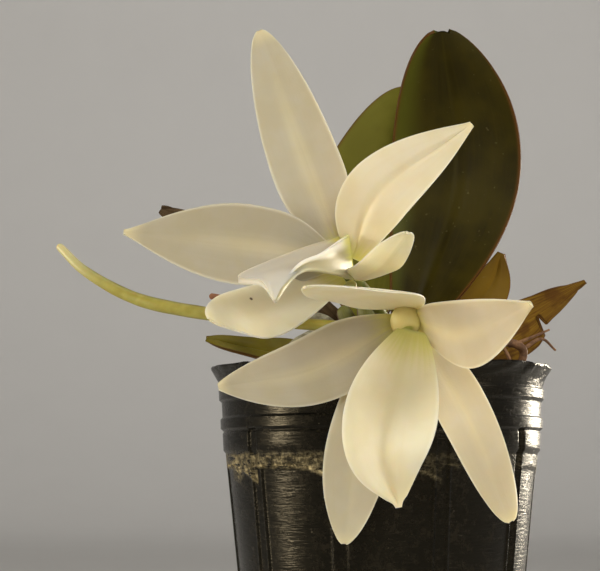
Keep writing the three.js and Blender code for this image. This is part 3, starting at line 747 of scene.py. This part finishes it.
def cut_drains(pot):
    """Drain holes, cut through the floor in a ring round its middle"""
    cutters = []
    for k in range(DRAIN_COUNT):
        angle = 2 * math.pi * k / DRAIN_COUNT
        place = (DRAIN_CIRCLE * math.sin(angle) * MM, DRAIN_CIRCLE * math.cos(angle) * MM, 0)
        bpy.ops.mesh.primitive_cylinder_add(
            vertices=32, radius=DRAIN_RADIUS * MM, depth=4 * MM, location=place)
        cutters.append(bpy.context.object)
    for cutter in cutters:
        hole = pot.modifiers.new("drain", "BOOLEAN")
        hole.operation = "DIFFERENCE"
        hole.solver = "EXACT"
        hole.object = cutter
    depsgraph = bpy.context.evaluated_depsgraph_get()
    mesh = bpy.data.meshes.new_from_object(pot.evaluated_get(depsgraph))
    pot.modifiers.clear()
    pot.data = mesh
    for cutter in cutters:
        bpy.data.objects.remove(cutter)


# Growing medium: a rough plug with loose bark chips on top

def chip_shape(size, seed):
    """A rounded, broken block, as points and faces"""
    n = CHIP_CELLS
    points, faces, index = [], [], {}

    def corner(p):
        key = tuple(np.round(p, 4))
        if key not in index:
            index[key] = len(points)
            points.append(np.array(p, float))
        return index[key]

    for axis in range(3):
        for sign in (-1, 1):
            for i in range(n):
                for j in range(n):
                    quad = []
                    for a, b in ((i, j), (i + 1, j), (i + 1, j + 1), (i, j + 1)):
                        p = [0.0, 0.0, 0.0]
                        p[axis] = sign
                        p[(axis + 1) % 3] = 2 * a / n - 1
                        p[(axis + 2) % 3] = 2 * b / n - 1
                        quad.append(corner(p))
                    faces.append(tuple(quad) if sign > 0 else tuple(quad[::-1]))
    shaped = []
    for p in points:
        ball = p / np.linalg.norm(p)
        q = p * 0.62 + ball * 0.38
        wobble = noise.noise(Vector(q * 1.3) + Vector((seed * 7.1, 0, 0)))
        ridge = noise.noise(Vector(q * 3.5) + Vector((0, seed * 3.3, 0)))
        shaped.append(q * (1 + 0.22 * wobble + 0.1 * ridge) * size)
    return np.array(shaped), faces


def rotation(rng, lean):
    """A turn by any angle, and a lean of up to so many radians each way"""
    turn, tip_x, tip_y = rng.uniform(0, 2 * math.pi), rng.uniform(-lean, lean), rng.uniform(-lean, lean)
    cz, sz = math.cos(turn), math.sin(turn)
    cx, sx = math.cos(tip_x), math.sin(tip_x)
    cy, sy = math.cos(tip_y), math.sin(tip_y)
    around = np.array([[cz, -sz, 0], [sz, cz, 0], [0, 0, 1]])
    about_x = np.array([[1, 0, 0], [0, cx, -sx], [0, sx, cx]])
    about_y = np.array([[cy, 0, sy], [0, 1, 0], [-sy, 0, cy]])
    return around @ about_x @ about_y


def build_medium():
    sides, rings = 96, []
    for z in (POT_FLOOR + 0.3, 20, 45, MEDIUM_TOP - 2):
        radius = outer_radius(z) - POT_WALL - 0.4
        turn = full_turn(sides)
        rings.append(np.stack([radius * np.cos(turn), radius * np.sin(turn), np.full(sides, z)], 1))
    top = rings[-1]
    for share in np.linspace(0.94, 0.06, 14):
        ring = top * share
        lift = [1.6 + 1.4 * noise.noise(Vector(p) / 4.0) for p in ring]
        ring[:, 2] = MEDIUM_TOP - 2 + np.array(lift)
        rings.append(ring)
    points, faces = ring_mesh(np.array(rings))
    points, faces = list(points), list(faces)
    rng = random.Random(7)
    for k in range(CHIP_COUNT):
        size = np.array([rng.uniform(2.2, 4.6), rng.uniform(1.6, 3.0), rng.uniform(1.0, 2.0)])
        chip, quads = chip_shape(size, k)
        reach = CHIP_SPREAD * math.sqrt((k + 0.5) / CHIP_COUNT)
        around = k * GOLDEN_ANGLE
        height = MEDIUM_TOP + rng.uniform(-0.6, 1.6)
        place = np.array([reach * math.cos(around), reach * math.sin(around), height])
        chip = chip @ rotation(rng, CHIP_LEAN).T
        over = np.linalg.norm((chip + place)[:, :2], axis=1).max() - CHIP_LIMIT
        if over > 0:
            place[:2] *= 1 - over / reach
        start = len(points)
        points += list(chip + place)
        faces += [tuple(start + i for i in quad) for quad in quads]
    add_piece("bark", points, faces, bark_material("bark"), ["growing_medium"])


# The plant's green parts

STEM_FAN = [
    ([(0, 6, 49), (0, 6, 60), (0.5, 6.5, 68)], (3.0, 3.2, 2.4)),
    ([(0, 6, 52), (-3, 6.5, 62), (-6.5, 7, 70.5)], (2.4, 2.4, 1.5)),
    ([(0, 6, 52), (-1.2, 5.2, 62), (-2.6, 5, 71)], (2.4, 2.5, 1.7)),
    ([(0, 6, 52), (2, 5.4, 60), (4.8, 5.4, 66.5)], (2.4, 2.5, 1.8)),
    ([(0, 6, 52), (3.5, 7, 58), (8, 8.5, 63)], (2.2, 2.0, 1.4)),
]

LEAVES = {
    "leaf_tall": dict(
        spine=[(5, 6.5, 66), (14, 13, 96.5), (11.7, 9, 123.6)], face=(0.05, -1, 0.1), width=24.4, root=6,
        widest=0.54, blunt=0.66, cup=(25, 6), tip=3, channel=0.35, groove=0.12, notch=(0.5, 0.16, 0.008),
        wave=0.5, waves=1.5, thick=(1.3, 0.6)),
    "leaf_second": dict(
        spine=[(-2.5, 8, 69), (-2, 17, 90), (8, 22, 115)], face=(0.1, -1, 0.1), width=22.4, root=6,
        widest=0.47, blunt=0.45, cup=(25, 10), tip=3, channel=0.45, groove=0.1, notch=(0.0, 0.3, 0.015),
        wave=0.4, waves=1.3, thick=(1.3, 0.6)),
    "leaf_small_right": dict(
        spine=[(8.5, 9, 64), (15.5, 13, 70.5), (20.5, 14, 76), (22.6, 14, 82.4)], face=(0.1, -1, 0),
        width=8.4, root=4, widest=0.5, blunt=1.1, cup=(20, 10), tip=1.2, channel=0.3, wave=0.2,
        thick=(1.0, 0.45)),
    "leaf_folded_right": dict(
        spine=[(9, 7.5, 61.5), (24.5, 13.5, 68), (38.2, 15, 77)], face=(0.2, -1, 0.3), width=10, root=5,
        widest=0.4, blunt=1.2, fold=(10, -40), channel=0.3, wave=0.5, waves=3, thick=(0.9, 0.35),
        right_edge=[(0, 1), (0.6, 1.25), (0.645, 1.15), (0.655, 0.12), (0.672, 0.1), (0.685, 0.75),
                    (0.8, 0.7), (1, 0.6)]),
    "leaf_low_left": dict(
        spine=[(-2, 2.5, 60.5), (-15, -3, 62), (-30.5, -5, 65)], face=(0.1, -0.6, 0.8), width=9, root=5,
        widest=0.4, blunt=0.8, channel=0.5, wave=0.3, thick=(1.1, 0.45)),
    "leaf_old_left": dict(
        spine=[(-7.5, 9.5, 68), (-26, 17, 84), (-41.5, 15, 91.3)], face=(0.1, -1, 0.4), width=8, root=4,
        widest=0.4, blunt=0.8, cup=(15, 10), channel=0.5, wave=0.7, waves=3, thick=(0.9, 0.35)),
}

ROOTS = {
    "root_left": ([(-1, 9, 60), (-10, 8, 69), (-21.5, 6, 71.5), (-30.5, 4, 73.5)], (1.3, 1.2, 1.0, 0.55)),
    "root_front": (
        [(-1, 5, 58), (-5, -4, 63.5), (-12, -13.5, 64.4), (-16, -16, 60), (-17, -16, 52)],
        (1.5, 1.4, 1.3, 1.2, 1.1)),
    "root_back": ([(1, 9, 58), (4, 16, 62), (1, 21, 60), (-2, 22, 51)], (1.5, 1.6, 1.5, 1.3)),
    "root_right": (
        [(5, 4, 57), (13, 4.5, 62), (22, 7, 65), (26, 8.7, 63.7), (24.3, 8.5, 58.5), (22, 8, 52)],
        (1.2, 1.0, 0.8, 0.75, 0.75, 0.75)),
}

STALKS = [
    ([(2.5, 2, 60), (2.2, -8, 62.5), (1.6, -17, 65.5), (1.2, -21, 66.6)], (1, 1.2, 1.2, 1.1)),
    ([(1.5, -18.5, 65.9), (-1.5, -25, 70), (-4.7, -28.9, 73.1)], (1, 0.9, 1.15)),
    ([(1.4, -19.5, 66.2), (3.2, -29, 66.8), (4.5, -38.1, 65.6)], (1, 0.9, 1.15)),
]

ROOTLETS = [
    ([(23.5, 8, 64.6), (27, 9.5, 66), (31, 12, 67.8)], (0.35, 0.28, 0.2)),
    ([(25.8, 8.7, 64), (29.4, 10, 66), (32.1, 12, 64.1)], (0.35, 0.3, 0.2)),
    ([(25.5, 8.6, 61.5), (27, 9, 59.5), (27, 8, 57)], (0.3, 0.26, 0.2)),
    ([(22, 7, 65), (23.5, 6, 61), (22.5, 4.5, 57.5)], (0.35, 0.3, 0.22)),
    ([(18, 5.6, 63.8), (19.5, 4, 60.5), (19, 2.5, 57.5)], (0.35, 0.3, 0.22)),
]


def build_green_parts():
    bronze = leaf_material(
        "bronze_leaf", (0.020, 0.015, 0.0007), (0.036, 0.028, 0.0013), (0.10, 0.040, 0.008), 3.0,
        margin=(0.075, 0.078, 0.007))
    green = leaf_material(
        "green_leaf", (0.12, 0.115, 0.013), (0.18, 0.17, 0.022), (0.15, 0.08, 0.02), 9.0)
    olive = leaf_material(
        "olive_leaf", (0.10, 0.082, 0.009), (0.16, 0.13, 0.016), (0.10, 0.05, 0.015), 15.0)
    amber = leaf_material(
        "amber_leaf", (0.125, 0.066, 0.006), (0.19, 0.11, 0.010), (0.14, 0.06, 0.012), 21.0)
    torn = dry_material("torn_leaf", (0.11, 0.045, 0.008), (0.26, 0.145, 0.014))
    brown = dry_material("brown_leaf", (0.06, 0.036, 0.015), (0.13, 0.085, 0.045))
    looks = {
        "leaf_tall": (bronze, "leaf"), "leaf_second": (green, "leaf"), "leaf_low_left": (olive, "leaf"),
        "leaf_small_right": (amber, "yellow_leaf"), "leaf_folded_right": (torn, "yellow_leaf"),
        "leaf_old_left": (brown, "dry_leaf"),
    }
    for name, blade in LEAVES.items():
        material, slot = looks[name]
        rows = 220 if "right_edge" in blade else 90
        add_blade(name + "_blade", blade, material, [name], rows=rows, cols=44)
    velamen = ((0.16, 0.14, 0.08), (0.34, 0.32, 0.22))
    brown_skin = ((0.10, 0.045, 0.018), (0.24, 0.12, 0.05))
    for name, (path, radii) in ROOTS.items():
        skin = brown_skin if name == "root_right" else velamen
        tip = (0.24, 0.10, 0.045) if name == "root_left" else skin[1]
        tubes = [(path, radii)] + (ROOTLETS if name == "root_right" else [])
        material = root_material(name, *skin, tip)
        add_tubes(name + "_skin", tubes, material, "root", [name], steps=80, sides=20, lumps=0.22)
    add_tubes(
        "stem_sheaths", STEM_FAN, sheath_material("stem"), "stem", ["stem"], steps=30, sides=32, lumps=0.1,
        flat=0.7, front=(0, -1, 0))
    add_tubes(
        "flower_stalks", STALKS, stalk_material("flower_stalk"), "stalk", ["flower_stalk"], steps=40,
        sides=18, lumps=0.08)


# Flowers. The photograph's light leaves some sepals and petals in shade, and shade is how bright such
# a one is against the rest.

UPPER = {
    "left_petal": dict(
        spine=[(-7, -33.5, 75), (-18, -35.5, 77), (-41.3, -31, 80.3)], face=(0, -1, 0.02), width=13,
        widest=0.6, blunt=1.25, shade=0.5),
    "right_petal": dict(
        spine=[(-4.4, -33.5, 75.6), (0, -38, 85.3), (14.6, -36, 96.4)], face=(-0.1, -1, 0.1), width=11.2,
        widest=0.5, blunt=1.15, channel=0.4, groove=0.16, shade=0.84),
    "dorsal_sepal": dict(
        spine=[(-5.9, -31.2, 75.6), (-13, -28, 94.3), (-20, -23, 115.5)], face=(-0.1, -1, 0.18),
        width=11.7, widest=0.39, blunt=0.65, channel=0.2, groove=0.3, shade=0.59),
    "left_sepal": dict(
        spine=[(-6.4, -31.6, 72.8), (-18.4, -43, 65.9), (-24.8, -54.5, 63.8)], face=(0, -1, 0.35),
        width=10.2, widest=0.48, blunt=0.55, speck=(0.49, 0.53)),
    "right_sepal": dict(
        spine=[(-4, -31.8, 72.5), (0.1, -47, 72.7), (3.9, -60, 75.7)], face=(0.13, 0.11, 0.98), width=6.2,
        widest=0.3, blunt=0.5, shade=1.14, throat=0.08),
}
UPPER_LIP = (
    [(-5, -36, 78.9), (-8.6, -42.5, 75.4), (-12, -47.5, 72.8), (-13.9, -54.5, 68.8), (-14.8, -60.5, 66)],
    [(-4.2, -33, 72.2), (-7.4, -42, 72.1), (-11.2, -49, 71.7), (-13.8, -57, 68.4), (-14.9, -60.8, 65.8)],
    [(-6.4, -34, 79), (-13.3, -43, 75.2), (-20.8, -52, 70.3), (-17.2, -56.5, 68.9), (-15.1, -60.6, 65.9)],
)
# A column is a path, its radii, and a cap with a hollow: the way it faces, its width and its depth
UPPER_COLUMN = (
    [(-5.1, -29.5, 73.5), (-5.5, -31.2, 74.2), (-5.9, -32.6, 74.9)], (1.0, 1.3, 1.2, 1.0),
    (-6.0, -33, 75.1), (1.2, 1.0, 1.3), ((0, -0.6, -0.8), 55, 0.5))
UPPER_SPUR = (
    [(-4.6, -31, 71.4), (-9.5, -26.5, 69.9), (-15, -14, 68.3), (-20.5, -2, 68.6), (-25, 10, 71)],
    (0.9, 0.9, 1.0, 0.9, 0.5),
)

LIP_RIM = 0.45  # how far a folded lip's rims roll forward

LOWER = {
    "left_petal": dict(
        spine=[(3, -41.5, 64.4), (-10.5, -47, 56.8), (-24.4, -46, 54.5)], face=(0, -1, -0.15), width=10.8,
        widest=0.35, blunt=0.9, shade=0.57),
    "right_petal": dict(
        spine=[(5.6, -42, 64.8), (11.8, -55, 61.6), (20.6, -68, 64.6)], face=(-0.77, -0.5, -0.42),
        width=10.5, widest=0.47, blunt=1.15, shade=0.64),
    "dorsal_sepal": dict(
        spine=[(4.7, -41, 66.7), (-0.8, -53, 67.5), (-10.6, -64, 67.5)], face=(0, -0.12, -1), width=12.5,
        widest=0.5, blunt=0.8),
    "left_sepal": dict(
        spine=[(3.6, -39.2, 62.6), (-3.2, -44, 45), (-5.7, -41, 31)], face=(0, -1, -0.1), width=11,
        widest=0.3, blunt=0.7, shade=0.7),
    "right_sepal": dict(
        spine=[(6, -39.2, 62.8), (13.5, -45, 48.6), (19.4, -42, 34.4)], face=(0, -1, -0.1), width=8,
        widest=0.35, blunt=0.55, shade=0.74),
}
LOWER_LIP = dict(
    spine=[(4.9, -43.4, 62.9), (0.9, -55, 46.8), (2.5, -53, 36.7)], face=(0, -1, -0.1), width=13.8,
    root=4.5, widest=0.4, blunt=1.3, cup=(25, 10), tip=1.3, nub=(0.92, 0.97, 0.25), channel=0.45,
    groove=0.22, midrib=0.2, ridges=((-0.12, 0.1, 0.1), (0.8, 0.25, 0.45)), thick=(0.7, 0.25))
LOWER_COLUMN = (
    [(4.6, -38.7, 65.4), (4.3, -41, 64.9), (4.0, -42.8, 64.6)], (1.0, 1.5, 1.6, 1.4),
    (3.8, -43.3, 64.5), (2.3, 1.5, 2.6), ((0.2, -0.45, -0.86), 50, 0.45))
LOWER_SPUR = (
    [(4.6, -40.2, 62.4), (0, -36, 64), (-8, -34, 64.7), (-20, -33, 65.8), (-33.3, -31.5, 67.9),
     (-41, -29, 70.3), (-48.3, -27, 74.5), (-52.8, -25, 78.7)],
    (0.8, 0.85, 0.9, 1.0, 1.1, 1.05, 0.9, 0.65),
)


def gutter_grid(lines, rows, cols):
    """A folded lip through its near edge, its keel and its far edge, with both rims rolled forward"""
    t = np.linspace(0, 1, rows + 1)
    near, keel, far = (spline(line, t)[0] for line in lines)
    v = np.linspace(-1, 1, cols + 1)
    s_grid, v_grid = np.meshgrid(t, v, indexing="ij")
    edge = np.where(v_grid[..., None] < 0, near[:, None, :], far[:, None, :])
    reach = np.abs(v_grid[..., None]) ** 1.4
    grid = keel[:, None, :] * (1 - reach) + edge * reach
    rolled = LIP_RIM * smoothstep(0.7, 1, np.abs(v_grid)) * np.sin(math.pi * s_grid)
    grid[..., 1] -= rolled
    return grid, s_grid, v_grid


def build_flower(prefix, tepals, column, spur, offset):
    for k, (part, blade) in enumerate(tepals.items()):
        blade = {"root": 3, "wave": 0.25, "waves": 1.6, **blade}
        name = f"{prefix}_{part}"
        material = tepal_material(
            name, offset + k * 3.7, blade.get("throat", 0.18), blade.get("speck"), blade.get("shade", 1.0))
        add_blade(name + "_blade", blade, material, [name], rows=84, cols=40)
    path, radii, cap, size, hollow = column
    add_tubes(
        f"{prefix}_column_body", [(path, radii)], column_material(f"{prefix}_column"), "column",
        [f"{prefix}_column"], extra=[egg(cap, size, hollow)], steps=30, sides=28, lumps=0.05)
    add_tubes(
        f"{prefix}_spur_skin", [spur], spur_material(f"{prefix}_spur"), "spur", [f"{prefix}_spur"],
        steps=120, sides=20, lumps=0.05)


def build_flowers():
    build_flower("upper", UPPER, UPPER_COLUMN, UPPER_SPUR, 1.0)
    build_flower("lower", LOWER, LOWER_COLUMN, LOWER_SPUR, 40.0)
    grid, s, v = gutter_grid(UPPER_LIP, 72, 40)
    thickness = 0.5 + 0.45 * smoothstep(0.7, 0.9, np.abs(v)) * np.sin(math.pi * s)
    points, faces = sheet_mesh(grid, thickness)
    values = {"along": on_both_sides(s), "across": on_both_sides(v)}
    material = tepal_material("upper_lip", 77.0, 0.1, folded=True)
    add_piece("upper_lip_sheet", points, faces, material, ["upper_lip"], values)
    material = tepal_material("lower_lip", 91.0, 0.22)
    add_blade("lower_lip_sheet", LOWER_LIP, material, ["lower_lip"], rows=90, cols=48)


# Studio

def build_studio():
    """A pale floor that sweeps up into a round wall, which build_lights fills with soft lights"""
    profile = [(0.001, 0), (FLOOR_RADIUS, 0)]
    for k in range(1, 25):
        angle = math.pi / 2 * k / 24
        profile.append((FLOOR_RADIUS + FLOOR_SWEEP * math.sin(angle), FLOOR_SWEEP * (1 - math.cos(angle))))
    profile.append((FLOOR_RADIUS + FLOOR_SWEEP, WALL_HEIGHT))
    sides = 96
    turn = full_turn(sides)
    rings = [np.stack([r * np.cos(turn), r * np.sin(turn), np.full(sides, z)], 1) for r, z in profile]
    mesh = smooth_mesh("floor", np.concatenate(rings), grid_faces(len(profile) - 1, sides, closed=True))
    shader = Shader("floor", Roughness=0.85)
    grain = shader.noise(40.0, 2.0)
    dimmer = tuple(0.97 * c for c in FLOOR_COLOUR)
    mesh.materials.append(shader.finish(shader.mix(grain, FLOOR_COLOUR, dimmer)))
    floor = bpy.data.objects.new("floor", mesh)
    bpy.context.scene.collection.objects.link(floor)


def add_light(name, place, size, power, colour, aim=(0, -20, 60), spread=180):
    data = bpy.data.lights.new(name, "AREA")
    data.shape = "RECTANGLE"
    data.size, data.size_y = size[0] * MM, size[1] * MM
    data.energy = power
    data.color = colour
    data.spread = math.radians(spread)
    light = bpy.data.objects.new(name, data)
    light.location = Vector(place) * MM
    light.rotation_euler = (Vector(aim) - Vector(place)).to_track_quat("-Z", "Y").to_euler()
    light.visible_camera = False
    bpy.context.scene.collection.objects.link(light)


def build_lights():
    """Softboxes with grids light the object alone. The round wall has four lights of its own."""
    plain, warm, golden = (1.0, 0.97, 0.93), (1.0, 0.95, 0.86), (1.0, 0.9, 0.72)
    add_light("key", (650, -340, 480), (400, 400), 0.66, warm, spread=70)
    add_light("fill", (60, -760, 330), (500, 400), 0.33, warm, spread=70)
    add_light("left_strip", (-600, -165, 118), (100, 170), 0.15, golden, spread=40)
    add_light("right_strip", (460, 520, 128), (150, 190), 0.24, golden, spread=40)
    add_light("top", (0, -60, 900), (700, 700), 0.55, plain, spread=80)
    walls = (
        ("wall_back", (0, 1), 2.7), ("wall_right", (1, 0), 1.8), ("wall_front", (0, -1), 1.8),
        ("wall_left", (-1, 0), 1.8))
    for name, (x, y), power in walls:
        place = (WALL_LIGHT_OUT * x, WALL_LIGHT_OUT * y, WALL_LIGHT_Z)
        aim = (WALL_AIM_OUT * x, WALL_AIM_OUT * y, WALL_AIM_Z)
        add_light(name, place, (1400, 300), power, plain, aim, spread=112)
    world = bpy.data.worlds.new("studio")
    world.use_nodes = True
    world.node_tree.nodes["Background"].inputs[0].default_value = (*WORLD_COLOUR, 1)
    world.node_tree.nodes["Background"].inputs[1].default_value = WORLD_STRENGTH
    bpy.context.scene.world = world
    bpy.context.scene.view_settings.view_transform = "Standard"


def build_camera():
    data = bpy.data.cameras.new("camera")
    data.lens = CAMERA_LENS
    data.sensor_width = 36
    data.clip_start, data.clip_end = 0.01, 10
    camera = bpy.data.objects.new("camera", data)
    camera.location = Vector(CAMERA_PLACE) * MM
    camera.rotation_euler = (math.radians(90 + CAMERA_UP_DEG), 0, math.radians(CAMERA_LEFT_DEG))
    bpy.context.scene.collection.objects.link(camera)
    bpy.context.scene.camera = camera


build_camera()
build_studio()
build_lights()
build_pot()
build_medium()
build_green_parts()
build_flowers()
